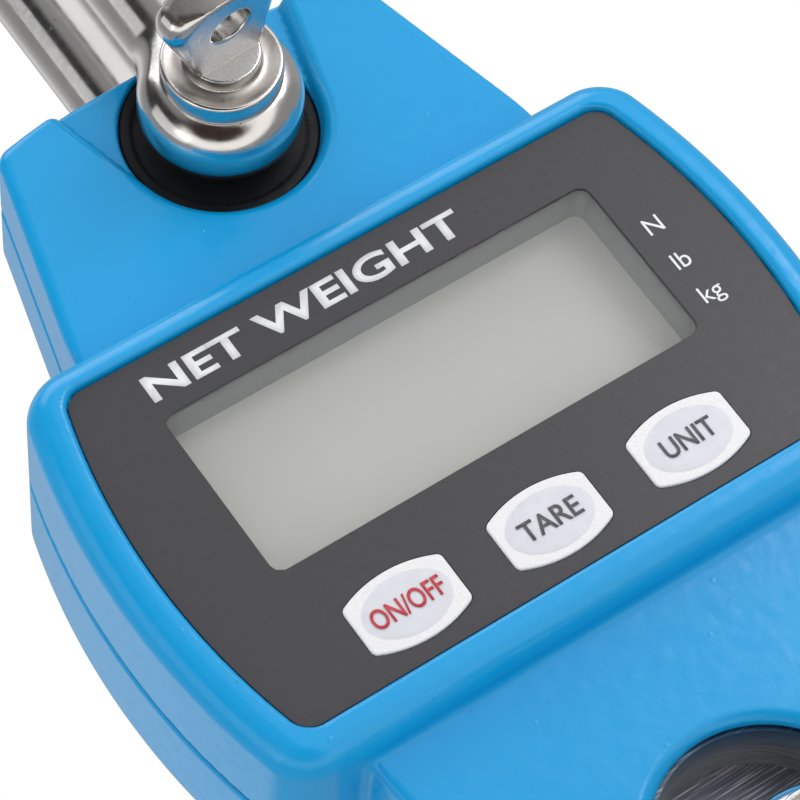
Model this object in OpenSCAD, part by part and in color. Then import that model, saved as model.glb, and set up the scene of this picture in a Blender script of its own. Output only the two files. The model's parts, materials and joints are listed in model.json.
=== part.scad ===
// Hanging crane scale with a screw-pin shackle above and a shackle with a latched eye hook below.
// Origin: inside of the upper shackle's crown. +Z is up, and the display faces -Y.

/* [Shackles] */
// Diameter of the bent bar
bar_d = 12; // [11:0.5:12]
// Clear gap between the two arms
jaw = 19; // [19:0.2:20]
// Pin axis to the inside of the crown
reach = 59.5; // [56:0.5:66]
// Outside diameter of an arm's eye
eye_d = 21; // [20.5:0.1:21]
// Width of an arm's eye along the pin
eye_w = 11; // [10.5:0.1:11]
// Diameter of the screw pin
pin_d = 12; // [11:0.1:12]
// Hole in the pin's flat tab
tab_hole_d = 5.6; // [4:0.1:6]

/* [Housing] */
// Width of the head across its bulging sides
head_w = 96.4; // [95:0.2:98]
// Thickness of the head, crest to crest
head_t = 33.2; // [33:0.1:35]
// Display centre up to the head's top edge
head_up = 25; // [25:0.2:27]
// Display centre down to the head's bottom edge
head_down = 36.4; // [36:0.2:38]
// Radius of the head's bulging sides
head_side_r = 100; // [90:5:140]
// Thickness of the necks
neck_t = 22.2; // [22:0.1:22.6]
// Wall of the head
head_wall = 2.6; // [2.2:0.1:2.8]

/* [Display and keys] */
// Width of the display window
window_w = 62; // [58:0.5:62]
// Height of the display window
window_h = 24.7; // [22:0.1:25]
// Depth of the glass behind the label
lcd_depth = 6.5; // [6:0.1:6.6]
// Distance between two keys
key_pitch = 20.4; // [18:0.1:20.6]
// Travel of a key
key_travel = 0.5; // [0.3:0.05:0.6]

/* [Load cell] */
// Radius of the lower eye that the lower pin hangs in
cell_eye_r = 14.1; // [13:0.1:14.2]
// Thickness of the lower block
cell_low_t = 18.2; // [17.6:0.1:18.3]
// Thickness of the upper block
cell_top_t = 14.6; // [13:0.1:14.6]

/* [Hook] */
// Diameter of the hook's bar
hook_bar_d = 13; // [12:0.2:13]
// Radius of the bowl's centre line
bowl_r = 23; // [22.5:0.1:23.2]

/* [Hidden] */
$fn = 64;

// Heights. Housing parts are drawn from the display's centre.
display_z = -106.5;
upper_eye_z = -reach - display_z;
lower_eye_z = -69.2;
pin_play = 0.08;
lower_pin_z = display_z + lower_eye_z - cell_eye_r + pin_d / 2 + pin_play;
lower_crown_z = lower_pin_z - reach;

// Shackle details
arm_y = (jaw + bar_d) / 2;
eye_round = 4;
eye_bore_r = pin_d / 2 + 0.05;
arm_drop = reach - 7;
collar_r = 7.75;
collar_t = 3.4;
head_r = 4.85;
head_len = 16.6;
tab_t = 3.3;
tab_end_t = 5.4;
tab_step = 1.7;
tab_half = 8.2;
tab_corner_r = 3.4;
pin_face = -arm_y - eye_w / 2;
tab_hole_y = pin_face - collar_t - 10;

// Housing details
front_y = -head_t / 2;
label_y = front_y + 1;
label_t = 0.5;
shelf_y = label_y + label_t;
front_wall_y = shelf_y + 2.2;
back_wall_y = head_t / 2 - 2.7;
gasket_t = 0.8;
neck_wall_y = neck_t / 2 - 1.9;
neck_rim = 2.4;
neck_half = [[0, 60], [18.5, 59.3], [26.6, 57.4], [34.6, 26], [34.6, -36], [25.5, -94], [0, -94]];
channel_floor = 9;
channel_pad_t = 1.6;
bush_hole_r = 12.8;
top_channel_r = 13.8;
low_channel_r = 15.5;
splay = 15.7;
low_splay = 6;
lip_r = 16.5;
head_screw_at = [[41.2, 17.3], [41.2, -28.7]];
neck_screw_at = [[22.6, 50], [25.5, -52]];
screw_r = 1.48;
screw_head_r = 2.75;
screw_head_h = 2.4;
boss_r = 3.2;
neck_boss_r = 3.8;
cell_screw_at = [13, 27.5];
cell_screw_r = 1.97;

// Display stack
key_z = -23.8;
key_half_w = 7.03;
key_side_h = 3.35;
key_crown_h = 5;
key_proud = 0.3;
flange_t = 1;
lcd_y = label_y + lcd_depth;
lcd_t = 1.9;
board_y = lcd_y + lcd_t + 1.2;
board_t = 1.6;
switch_h = 3.5;
plunger_top = board_y - switch_h - 1.1;
plunger_len = 1.8;
plunger_r = 1.7;
post_r = 1.5;
post_at = [[35.3, 12], [33, -27]];
lcd_half = [32.4, 14.2];
bezel_half = [33, 16];
board_half_w = 36.8;
board_low = -31;
board_high = 16.5;

// Batteries
cell_r = 5.25;
cell_x = [20.6, 31.2];
cell_len = 43.7;
nub_len = 0.8;
tray_low = -32.5;
tray_high = 17.5;
tray_floor = 1.1;
tray_rim = 12.7;
tray_in = 15.3;
tray_out = 36.6;
cell_y = tray_floor + cell_r + 0.1;
tray_skin = 0.8;
wire_r = 0.35;
contact_t = 0.4;
door_half_w = 36.2;
door_top = 18.4;
door_y = 14.2;
door_gap = 0.2;
door_tongue = 1;
rail_half_w = [36.5, 39];
rib_half_w = 9;
rib_at = 8;
rib_w = 0.9;
rib_step = 2;

// Load cell
cell_top = 56.6;
cell_hole_r = 7.2;
waist_half = 14;
waist_t = 7;
gauge_z = -6;
gauge_r = 9;
web_t = 1.8;
ledge_z = -66;
ledge_y = 0.3;
cell_top_half = 18;
cell_top_low = 19;
cell_low_half = 19.5;
cell_low_top = -42;
cell_low_end = -91.3;
cell_low_bevel = [2.5, 4.3];
cell_screw_head_r = 3.5;
cell_screw_head_h = 2.4;
wrench_r = 1.7;
cable_notch = [2, 3];
cable_r = 0.75;
cable_drop = 4;
bush_flange_r = 12.4;
bush_flange_t = 1.3;
far = 20;

// Hook
hook_eye_in = 11;
hook_eye_bar_r = 5.5;
hook_eye_z = lower_crown_z + 0.1 - hook_eye_in;
bowl_bar_r = hook_bar_d / 2;
neck_drop = 18;
swan_angle = 60;
bowl_z = hook_eye_z - neck_drop - 2 * bowl_r * sin(swan_angle);
knuckle_r = bowl_bar_r + 0.3;
latch_at = [8.8, bowl_z + 29];
latch_tilt = 20.4;
latch_len = 23.4;
lug_half = 2.2;
lug_r = 3.6;
lug_root = 7;
latch_pin_r = 1.5;
latch_half_w = 3.5;
latch_neck = 13;
spring_wire_r = 0.3;
spring_r = 2.6;
tip_r = 4.2;
tip_len = 9;
tip_root = 1;
latch_half = 5.6;
sheet = 1.2;

sky_blue = [0.16, 0.58, 0.84];
charcoal = [0.30, 0.30, 0.31];
steel = [0.62, 0.63, 0.65];
chrome = [0.80, 0.80, 0.82];
black = [0.05, 0.05, 0.06];
silver = [0.90, 0.90, 0.89];
grey = [0.51, 0.51, 0.52];
brass = [0.78, 0.62, 0.30];

// ---------- helpers ----------

// Extrudes an outline drawn in X and Z from y0 to y1.
module slab(y0, y1) {
    translate([0, y1, 0])
        rotate([90, 0, 0])
            linear_extrude(y1 - y0)
                children();
}

// Round bar along Y from y0 to y1.
module rod(r, y0, y1) {
    translate([0, y0, 0])
        rotate([-90, 0, 0])
            cylinder(r = r, h = y1 - y0);
}

// Box given by its two corners.
module block(low, high) {
    translate(low)
        cube(high - low);
}

module at_display() {
    translate([0, 0, display_z])
        children();
}

module both_sides() {
    children();
    mirror([1, 0, 0])
        children();
}

module at_points(points) {
    for (p = points, s = [-1, 1])
        translate([s * p[0], 0, p[1]])
            children();
}

// Round tube swept along a list of points, each ring square to the route.
function unit(v) = v / norm(v);
function heading(path, i) =
    unit(path[min(i + 1, len(path) - 1)] - path[max(i - 1, 0)]);
function side_of(d, up) = unit(cross(d, up));
module tube(path, r, sides = 8, up = [0.1, 0.2, 1]) {
    n = len(path);
    points = [
        for (i = [0 : n - 1])
            let (d = heading(path, i), u = side_of(d, up), v = cross(d, u))
                for (k = [0 : sides - 1])
                    path[i] + r * (cos(360 * k / sides) * u + sin(360 * k / sides) * v)
    ];
    walls = [
        for (i = [0 : n - 2], k = [0 : sides - 1], half = [0, 1])
            let (a = i * sides + k, b = i * sides + (k + 1) % sides)
                half == 0 ? [a, b + sides, b] : [a, a + sides, b + sides]
    ];
    first = [for (k = [0 : sides - 1]) k];
    last = [for (k = [sides - 1 : -1 : 0]) (n - 1) * sides + k];
    polyhedron(points, concat([first], walls, [last]), convexity = 6);
}

// Coil along +Z whose radius runs from r0 to r1.
function coil_path(r0, r1, height, turns, steps = 12) = [
    for (i = [0 : turns * steps])
        let (t = i / (turns * steps), r = r0 + (r1 - r0) * t)
            [r * cos(360 * turns * t), r * sin(360 * turns * t), height * t]
];

// ---------- outlines ----------

module barrel(half_w, up, down, side_r, corner_r) {
    offset(r = corner_r, $fn = 24)
        offset(delta = -corner_r)
            intersection() {
                translate([-half_w, -down])
                    square([2 * half_w, up + down]);
                translate([half_w - side_r, (up - down) / 2])
                    circle(r = side_r, $fn = 180);
                translate([side_r - half_w, (up - down) / 2])
                    circle(r = side_r, $fn = 180);
            }
}

module head_outline(inset = 0) {
    barrel(head_w / 2 - inset, head_up - inset, head_down - inset, head_side_r, 5 - min(inset, 3));
}

module neck_outline(inset = 0) {
    offset(r = 2, $fn = 24)
        offset(delta = -2 - inset)
            union() {
                polygon(neck_half);
                mirror([1, 0])
                    polygon(neck_half);
            }
}

module label_outline(gap = 0) {
    barrel(43.1 + gap, 20.8 + gap, 31 + gap, 90, 2 + gap);
}

module window_outline(grow = 0) {
    offset(r = 1.5 + grow, $fn = 24)
        square([window_w - 3, window_h - 3], center = true);
}

module key_outline(grow = 0) {
    crown_r = (key_half_w ^ 2 + (key_crown_h - key_side_h) ^ 2) / (2 * (key_crown_h - key_side_h));
    intersection() {
        square([2 * (key_half_w + grow), 20], center = true);
        translate([0, key_crown_h - crown_r])
            circle(r = crown_r + grow, $fn = 120);
        translate([0, crown_r - key_crown_h])
            circle(r = crown_r + grow, $fn = 120);
    }
}

module key_row(grow = 0) {
    for (i = [-1, 0, 1])
        translate([i * key_pitch, key_z])
            key_outline(grow);
}

// Splayed slot for a shackle arm, opening upwards from its round end.
module channel_outline(r, angle, height) {
    far = r * cos(angle) + (height + r * sin(angle)) * tan(angle);
    circle(r = r);
    polygon([
        [-r * cos(angle), -r * sin(angle)], [r * cos(angle), -r * sin(angle)],
        [far, height], [-far, height]
    ]);
}

module top_channel(grow = 0) {
    translate([0, upper_eye_z])
        channel_outline(top_channel_r + grow, splay, 14);
}

module low_channel() {
    translate([0, lower_eye_z])
        mirror([0, 1])
            channel_outline(low_channel_r, low_splay, 26);
}

// ---------- shackles ----------

// Screw-pin shackle with the inside of its crown at the origin and its arms downwards.
module bow_shape() {
    difference() {
        union() {
            translate([0, 0, -jaw / 2])
                rotate([90, 0, 90])
                    rotate_extrude(angle = 180)
                        translate([arm_y, 0])
                            circle(d = bar_d);
            for (s = [-1, 1])
                translate([0, s * arm_y, 0]) {
                    translate([0, 0, -arm_drop]) {
                        cylinder(d = bar_d, h = arm_drop - jaw / 2);
                        sphere(d = bar_d);
                    }
                    translate([0, 0, -reach])
                        rotate([90, 0, 0])
                            rotate_extrude()
                                eye_profile();
                }
        }
        translate([0, 0, -reach]) {
            rod(eye_bore_r, -arm_y - eye_w, arm_y + eye_w);
            rod(collar_r + 0.25, pin_face - 5, pin_face);
            rod(collar_r + 0.25, -pin_face, 5 - pin_face);
        }
    }
}

module eye_profile() {
    flat = eye_w / 2 - eye_round;
    translate([0, -eye_w / 2])
        square([eye_d / 2 - eye_round, eye_w]);
    translate([0, -flat])
        square([eye_d / 2, 2 * flat]);
    for (s = [-1, 1])
        translate([eye_d / 2 - eye_round, s * flat])
            circle(r = eye_round);
}

// Flat tab of a screw pin in the X-Y plane, wider towards its round-cornered end.
module tab_plate() {
    root_y = pin_face - collar_t - tab_step + tab_t / 3;
    end_y = pin_face - collar_t - head_len;
    corner = [tab_half - tab_corner_r, end_y + tab_corner_r];
    side = concat([[head_r - tab_step / 4, root_y]],
        [for (a = [0:-15:-90]) corner + tab_corner_r * [cos(a), sin(a)]]);
    intersection() {
        translate([0, 0, -tab_end_t])
            linear_extrude(2 * tab_end_t)
                polygon(concat(side, [for (i = [len(side) - 1:-1:0]) [-side[i][0], side[i][1]]]));
        rotate([0, 90, 0])
            translate([0, 0, -far])
                linear_extrude(2 * far)
                    polygon([[-tab_t / 2, root_y + 1], [-tab_t / 2, root_y], [-tab_end_t / 2, end_y - 1],
                        [tab_end_t / 2, end_y - 1], [tab_t / 2, root_y], [tab_t / 2, root_y + 1]]);
    }
}

// Screw pin on the Y axis: collar, short neck and flat tab in front, the tab turned by tilt.
module pin_shape(tilt) {
    difference() {
        union() {
            rod(pin_d / 2, pin_face - collar_t / 2, -pin_face - 0.4);
            rod(collar_r, pin_face - collar_t, pin_face);
            rod(head_r, pin_face - collar_t - tab_step, pin_face - collar_t / 2);
            rotate([0, tilt, 0])
                tab_plate();
        }
        rotate([0, tilt, 0])
            translate([0, tab_hole_y, -head_r])
                cylinder(d = tab_hole_d, h = 2 * head_r);
    }
}

module shackle_bow() {
    color(chrome)
        bow_shape();
}

module shackle_pin() {
    color(chrome)
        translate([0, 0, -reach])
            pin_shape(-4);
}

module lower_shackle_bow() {
    color(chrome)
        translate([0, 0, lower_crown_z])
            mirror([0, 0, 1])
                bow_shape();
}

module lower_shackle_pin() {
    color(chrome)
        translate([0, 0, lower_pin_z])
            pin_shape(-25);
}

// ---------- housing ----------

// Front half of the die-cast body, before its own cut-outs. The rear half mirrors it.
module shell_half() {
    difference() {
        union() {
            difference() {
                union() {
                    slab(front_y + 3, -gasket_t / 2)
                        head_outline();
                    slab(front_y + 1, front_y + 3)
                        head_outline(1);
                    slab(front_y, front_y + 1)
                        head_outline(2.4);
                    slab(-neck_t / 2 + 1, -gasket_t / 2)
                        neck_outline();
                    slab(-neck_t / 2, -neck_t / 2 + 1)
                        neck_outline(0.8);
                }
                slab(front_wall_y, 1)
                    head_outline(head_wall);
                slab(-neck_wall_y, 1)
                    neck_outline(neck_rim);
            }
            slab(-channel_floor, channel_pad_t - channel_floor)
                intersection() {
                    top_channel(2);
                    neck_outline(1);
                }
            at_points(head_screw_at)
                rod(boss_r, front_wall_y - 1, -gasket_t / 2);
            at_points(neck_screw_at)
                rod(neck_boss_r, -neck_wall_y - 1, -gasket_t / 2);
        }
        slab(-neck_t, -channel_floor)
            top_channel();
        slab(-neck_t, -cell_low_t / 2 - 0.05)
            low_channel();
        translate([0, 0, upper_eye_z])
            rod(bush_hole_r, -neck_t, 0);
        translate([0, -neck_t / 2, lower_eye_z])
            rotate([-90, 0, 0])
                cylinder(r1 = lip_r, r2 = low_channel_r - 0.5, h = neck_t / 2 - neck_wall_y + 0.01);
    }
}

module front_housing() {
    color(sky_blue)
        at_display()
            difference() {
                union() {
                    shell_half();
                    at_points(post_at)
                        rod(2, front_wall_y, board_y);
                }
                slab(front_y - 1, shelf_y)
                    label_outline(0.25);
                slab(front_y, front_wall_y + 1)
                    window_outline(1.6);
                slab(front_y, front_wall_y + 1)
                    key_row(0.3);
                at_points(post_at)
                    rod(1, board_y - 5, board_y + 1);
                at_points(head_screw_at)
                    rod(screw_r + 0.02, -9, 1);
                at_points(neck_screw_at)
                    rod(screw_r + 0.02, -8, 1);
            }
}

module rear_housing() {
    color(sky_blue)
        at_display()
            difference() {
                union() {
                    mirror([0, 1, 0])
                        shell_half();
                    both_sides()
                        block([rail_half_w[0], door_y - 1.3, -head_down + 1],
                            [rail_half_w[1], back_wall_y + 0.5, door_top + door_gap]);
                    at_points([cell_screw_at])
                        rod(5, cell_top_t / 2 + 0.05, neck_wall_y + 0.5);
                }
                block([-door_half_w - door_gap, door_y - 0.7, -head_down - 1],
                    [door_half_w + door_gap, head_t, door_top + door_gap]);
                block([-door_half_w - door_tongue - door_gap, door_y - 0.15, -head_down - 1],
                    [door_half_w + door_tongue + door_gap, door_y + 1.1, door_top + door_gap]);
                screw_hole(head_screw_at, head_t / 2);
                screw_hole(neck_screw_at, neck_t / 2);
                at_points([cell_screw_at]) {
                    rod(cell_screw_r + 0.23, 0, neck_t);
                    rod(cell_screw_head_r + 0.2, neck_t / 2 - cell_screw_head_h - 0.1, neck_t);
                }
            }
}

// Clearance hole and head recess of the shell screws, seen from the back face at y.
module screw_hole(places, y) {
    at_points(places) {
        rod(screw_r + 0.22, -1, y + 1);
        rod(screw_head_r + 0.15, y - screw_head_h - 0.1, y + 1);
    }
}

module shell_screw(y, depth) {
    cross_half = 2;
    cross_w = 0.8;
    difference() {
        union() {
            rod(screw_head_r, y - screw_head_h - 0.1, y - 0.1);
            rod(screw_r, -depth, y - screw_head_h);
        }
        for (a = [0, 90])
            rotate([0, a, 0])
                block([-cross_w / 2, y - 1.2, -cross_half], [cross_w / 2, y + 1, cross_half]);
    }
}

module head_screws() {
    color(steel)
        at_display()
            at_points(head_screw_at)
                shell_screw(head_t / 2, 8);
}

module neck_screws() {
    color(steel)
        at_display()
            at_points(neck_screw_at)
                shell_screw(neck_t / 2, 7);
}

module housing_gasket() {
    color(black)
        at_display()
            slab(-gasket_t / 2, gasket_t / 2)
                difference() {
                    union() {
                        head_outline(0.4);
                        neck_outline(0.4);
                    }
                    head_outline(2.2);
                    neck_outline(2);
                }
}

// ---------- load cell ----------

module load_cell() {
    color(steel)
        at_display()
            difference() {
                union() {
                    block([-cell_top_half, -cell_top_t / 2, cell_top_low],
                        [cell_top_half, cell_top_t / 2, cell_top]);
                    block([-waist_half, -waist_t / 2, cell_low_top - 1],
                        [waist_half, waist_t / 2, cell_top_low + 1]);
                    slab(-cell_low_t / 2, cell_low_t / 2)
                        both_sides()
                            polygon([[0, cell_low_top], [cell_low_half, cell_low_top],
                                [cell_low_half, cell_low_end + cell_low_bevel[1]],
                                [cell_low_half - cell_low_bevel[0], cell_low_end], [0, cell_low_end]]);
                }
                translate([0, 0, upper_eye_z])
                    rod(cell_hole_r, -far, far);
                difference() {
                    translate([0, 0, lower_eye_z])
                        rod(cell_eye_r, -far, far);
                    block([-far, ledge_y, ledge_z], [far, far, ledge_z + far]);
                }
                for (s = [0, 1])
                    mirror([0, s, 0])
                        translate([0, 0, gauge_z])
                            rod(gauge_r, web_t / 2, waist_t);
                at_points([cell_screw_at])
                    rod(cell_screw_r + 0.03, 1, far);
                both_sides()
                    block([waist_half - cable_notch[0], -waist_t, gauge_z - 15],
                        [waist_half + 1, waist_t, gauge_z - 15 + cable_notch[1]]);
            }
}

module strain_gauges() {
    half_w = 1.6;
    half_h = 2.6;
    color(brass)
        at_display()
            for (s = [0, 1], x = [-3.6, 3.6])
                mirror([0, s, 0])
                    translate([x, web_t / 2, gauge_z])
                        rotate([0, 45, 0])
                            block([-half_w, 0, -half_h], [half_w, 0.15, half_h]);
}

module gauge_covers() {
    t = 0.8;
    color(silver)
        at_display()
            translate([0, 0, gauge_z]) {
                rod(gauge_r - 0.02, -waist_t / 2, t - waist_t / 2);
                difference() {
                    rod(gauge_r - 0.02, waist_t / 2 - t, waist_t / 2);
                    translate([0, 0, -cable_drop])
                        rod(cable_r + 0.15, 0, waist_t);
                }
            }
}

module gauge_cable() {
    route = [
        [0, 2, gauge_z - cable_drop], [0, 3.2, gauge_z - cable_drop], [0, 4.4, -10.8], [0, 4.8, -12.5],
        [0, 4.8, -20], [0.5, 4.8, -28], [4, 4.8, -34.5], [10.5, 4.8, -37.4], [15.4, 4.4, -38.2],
        [18.2, 2.4, -38], [19, -0.4, -36.6], [19, -2.3, -34.4], [19, -2.6, -31.4]
    ];
    color(silver)
        at_display()
            tube(route, cable_r);
}

module cell_screws() {
    color(steel)
        at_display()
            at_points([cell_screw_at])
                difference() {
                    union() {
                        rod(cell_screw_head_r, neck_t / 2 - cell_screw_head_h - 0.1, neck_t / 2 - 0.1);
                        rod(cell_screw_r, 1.6, neck_t / 2 - cell_screw_head_h);
                    }
                    rotate([0, 30, 0])
                        rod(wrench_r, neck_t / 2 - 1.6, neck_t, $fn = 6);
                }
}

// Flanged bush between the load cell and the shackle pin, on the front side.
module bush_shape() {
    translate([0, 0, -reach])
        difference() {
            union() {
                rod(bush_flange_r, -cell_top_t / 2 - bush_flange_t, -cell_top_t / 2);
                rod(cell_hole_r - 0.03, -cell_top_t / 2, -0.1);
            }
            rod(pin_d / 2 + 0.06, -far, 1);
        }
}

module front_bush() {
    color(black)
        bush_shape();
}

module rear_bush() {
    color(black)
        mirror([0, 1, 0])
            bush_shape();
}

// ---------- display, keys and board ----------

module label_panel() {
    color(charcoal)
        at_display()
            slab(label_y, shelf_y)
                difference() {
                    label_outline();
                    window_outline();
                    key_row(0.12);
                }
}

module display_bezel() {
    color(grey)
        at_display()
            difference() {
                union() {
                    slab(shelf_y, front_wall_y)
                        window_outline(1.4);
                    block([-bezel_half[0], front_wall_y, -bezel_half[1]],
                        [bezel_half[0], lcd_y, bezel_half[1]]);
                }
                slab(front_y, board_y)
                    window_outline();
            }
}

module display_window() {
    color([0.85, 0.9, 0.92, 0.3])
        at_display()
            slab(shelf_y + 0.2, shelf_y + 1)
                window_outline(-0.05);
}

module lcd_glass() {
    color([0.70, 0.71, 0.67])
        at_display()
            block([-lcd_half[0], lcd_y, -lcd_half[1]], [lcd_half[0], lcd_y + lcd_t, lcd_half[1]]);
}

module lcd_backlight() {
    color([0.93, 0.95, 0.90])
        at_display()
            block([-lcd_half[0], lcd_y + lcd_t, -lcd_half[1]], [lcd_half[0], board_y, lcd_half[1]]);
}

module lcd_connector() {
    half_w = 26;
    color(black)
        at_display()
            block([-half_w, lcd_y + 0.2, -lcd_half[1] - 2.2], [half_w, board_y, -lcd_half[1] - 0.2]);
}

module main_board() {
    color([0.05, 0.33, 0.16])
        at_display()
            difference() {
                block([-board_half_w, board_y, board_low], [board_half_w, board_y + board_t, board_high]);
                at_points(post_at)
                    rod(1.1, board_y - 1, 0);
            }
}

// Processor, converter, cable socket, battery socket and two capacitors: [x, z], size.
module board_components() {
    back = board_y + board_t;
    chips = [
        [[26, -3], [10, 1.6, 10]], [[-26.5, -3], [7, 1.5, 6]],
        [[19, -28.25], [6, 3.4, 4.5]], [[27.5, -28.25], [6.2, 3.4, 4.5]]
    ];
    cans = [[[-26, -16], 2.5, 4], [[-18.5, 10], 2, 3.4]];
    color(black)
        at_display() {
            for (c = chips)
                translate([c[0][0] - c[1][0] / 2, back, c[0][1] - c[1][2] / 2])
                    cube(c[1]);
            for (c = cans)
                translate([c[0][0], 0, c[0][1]])
                    rod(c[1], back, back + c[2]);
        }
}

module board_screws() {
    color(steel)
        at_display()
            at_points(post_at) {
                rod(1.9, board_y + board_t, board_y + board_t + 1.2);
                rod(0.98, board_y - 4, board_y + board_t + 0.5);
            }
}

module key_switches() {
    half = 3.1;
    color(black)
        at_display()
            for (i = [-1, 0, 1])
                translate([i * key_pitch, 0, key_z])
                    difference() {
                        block([-half, board_y - switch_h, -half], [half, board_y, half]);
                        rod(plunger_r + 0.15, board_y - switch_h - 1,
                            plunger_top + plunger_len + key_travel + 0.3);
                    }
}

module key_cap() {
    rest_gap = 0.05;
    slab(label_y - key_proud, front_wall_y + rest_gap)
        key_outline();
    slab(front_wall_y + rest_gap, front_wall_y + flange_t)
        key_outline(1);
    rod(post_r, front_wall_y + flange_t - 0.1, plunger_top);
}

module key_plunger() {
    rod(plunger_r, plunger_top, plunger_top + plunger_len);
}

module at_key(i) {
    translate([i * key_pitch, 0, display_z + key_z])
        children();
}

module key_on_off() {
    color(silver)
        at_key(-1)
            key_cap();
}

module key_tare() {
    color(silver)
        at_key(0)
            key_cap();
}

module key_unit() {
    color(silver)
        at_key(1)
            key_cap();
}

module plunger_on_off() {
    color(black)
        at_key(-1)
            key_plunger();
}

module plunger_tare() {
    color(black)
        at_key(0)
            key_plunger();
}

module plunger_unit() {
    color(black)
        at_key(1)
            key_plunger();
}

// ---------- batteries ----------

module battery_tray() {
    bridge_y = 4.3;
    bridge_t = 1.2;
    bridge_low = 1;
    bridge_h = 13;
    color(black)
        at_display()
            difference() {
                union() {
                    both_sides()
                        block([tray_in - 0.7, tray_floor - tray_skin, tray_low - tray_skin],
                            [tray_out + 0.75, tray_rim, tray_high + tray_skin]);
                    block([-tray_in, bridge_y, bridge_low],
                        [tray_in, bridge_y + bridge_t, bridge_low + bridge_h]);
                }
                both_sides()
                    block([tray_in, tray_floor, tray_low], [tray_out, tray_rim + 1, tray_high]);
            }
}

module at_cells() {
    for (s = [0, 1], i = [0, 1])
        mirror([s, 0, 0])
            translate([cell_x[i], cell_y, (tray_low + tray_high) / 2])
                mirror([0, 0, i])
                    children();
}

module battery_cells() {
    half = (tray_high - tray_low) / 2;
    color([0.75, 0.55, 0.2])
        at_display()
            at_cells() {
                translate([0, 0, half - 0.5 - nub_len - cell_len])
                    cylinder(r = cell_r, h = cell_len);
                translate([0, 0, half - 0.6 - nub_len])
                    cylinder(r = 1.9, h = nub_len + 0.1);
            }
}

module battery_contacts() {
    half = (tray_high - tray_low) / 2;
    plate = 8.4;
    color(steel)
        at_display()
            at_cells()
                for (z = [-half, half - contact_t])
                    translate([-plate / 2, -plate / 2, z])
                        cube([plate, plate, contact_t]);
}

module battery_springs() {
    half = (tray_high - tray_low) / 2;
    gap = 2 * half - 0.5 - nub_len - cell_len - contact_t;
    color(steel)
        at_display()
            at_cells()
                translate([0, 0, contact_t + wire_r - half])
                    tube(coil_path(3.6, 2.3, gap - 2 * wire_r - 0.05, 3), wire_r, 6, [0, 0, 1]);
}

module lead(x) {
    at_display()
        tube([
            [x, 6, tray_low - 0.85], [x, 5.6, -35], [x, 4.2, -36.6], [x, 2, -37.2],
            [x, 0, -37], [x, -1.8, -35.4], [x, -2.6, -33.4], [x, -2.6, -30.55]
        ], 0.6);
}

module battery_lead_red() {
    color([0.8, 0.1, 0.1])
        lead(26);
}

module battery_lead_black() {
    color(black)
        lead(29);
}

module battery_door() {
    color(sky_blue)
        at_display() {
            block([-door_half_w, door_y, -head_down], [door_half_w, head_t / 2, door_top]);
            block([-door_half_w - door_tongue, door_y, -head_down + 6],
                [door_half_w + door_tongue, door_y + 0.9, door_top - 1]);
            for (i = [0 : 3])
                translate([0, 0, rib_at + rib_step * i])
                    block([-rib_half_w, head_t / 2 - 0.1, 0], [rib_half_w, head_t / 2 + 0.4, rib_w]);
        }
}

// ---------- hook ----------

// Bar bent in the X-Z plane around the origin, from angle a0 through sweep.
module bend(r, bar_r, a0, sweep) {
    rotate([90, 0, 0])
        rotate([0, 0, a0])
            rotate_extrude(angle = sweep)
                translate([r, 0])
                    circle(r = bar_r);
}

module hook() {
    color(steel)
        difference() {
            union() {
                translate([0, 0, hook_eye_z])
                    bend(hook_eye_in + hook_eye_bar_r, hook_eye_bar_r, 0, 360);
                translate([-bowl_r, 0, hook_eye_z - neck_drop])
                    bend(bowl_r, bowl_bar_r, -swan_angle, swan_angle);
                translate([0, 0, hook_eye_z - neck_drop])
                    sphere(r = knuckle_r);
                translate([0, 0, bowl_z]) {
                    bend(bowl_r, bowl_bar_r, 180 - swan_angle, 180 + swan_angle);
                    rotate([0, swan_angle - 90, 0])
                        translate([0, 0, bowl_r])
                            sphere(r = knuckle_r);
                    translate([bowl_r, 0, -tip_root]) {
                        cylinder(r1 = bowl_bar_r - 0.2, r2 = tip_r, h = tip_root + tip_len);
                        translate([0, 0, tip_root + tip_len])
                            sphere(r = tip_r);
                    }
                }
                translate([latch_at[0], 0, latch_at[1]]) {
                    rod(lug_r, -lug_half, lug_half);
                    block([-lug_root, -lug_half, -lug_r], [0, lug_half, lug_r]);
                }
            }
            translate([latch_at[0], 0, latch_at[1]])
                rod(latch_pin_r + 0.05, -far, far);
        }
}

module latch_pin() {
    color(steel)
        translate([latch_at[0], 0, latch_at[1]]) {
            rod(latch_pin_r, -latch_half - 0.6, latch_half + 0.6);
            for (s = [0, 1])
                mirror([0, s, 0])
                    rod(2.4, latch_half + 0.2, latch_half + 1.1);
        }
}

// Bent sheet channel: two cheeks on the pin and a bridge that rests behind the hook's tip.
module safety_latch() {
    color(chrome)
        translate([latch_at[0], 0, latch_at[1]])
            rotate([0, -latch_tilt, 0])
                difference() {
                    union() {
                        for (s = [0, 1])
                            mirror([0, s, 0]) {
                                rod(lug_r, latch_half - sheet, latch_half);
                                slab(latch_half - sheet, latch_half)
                                    polygon([[-latch_half_w, 0], [latch_half_w, 0],
                                        [latch_half_w, -latch_neck], [sheet, -latch_len],
                                        [0, -latch_len], [0, 1 - latch_neck]]);
                            }
                        block([latch_half_w - sheet, -latch_half, -latch_neck],
                            [latch_half_w, latch_half, -latch_neck / 2]);
                        slab(-latch_half, latch_half)
                            polygon([[latch_half_w - sheet, 0.1 - latch_neck],
                                [latch_half_w, 0.1 - latch_neck], [sheet, -latch_len], [0, -latch_len]]);
                    }
                    rod(latch_pin_r + 0.1, -far, far);
                }
}

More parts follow.
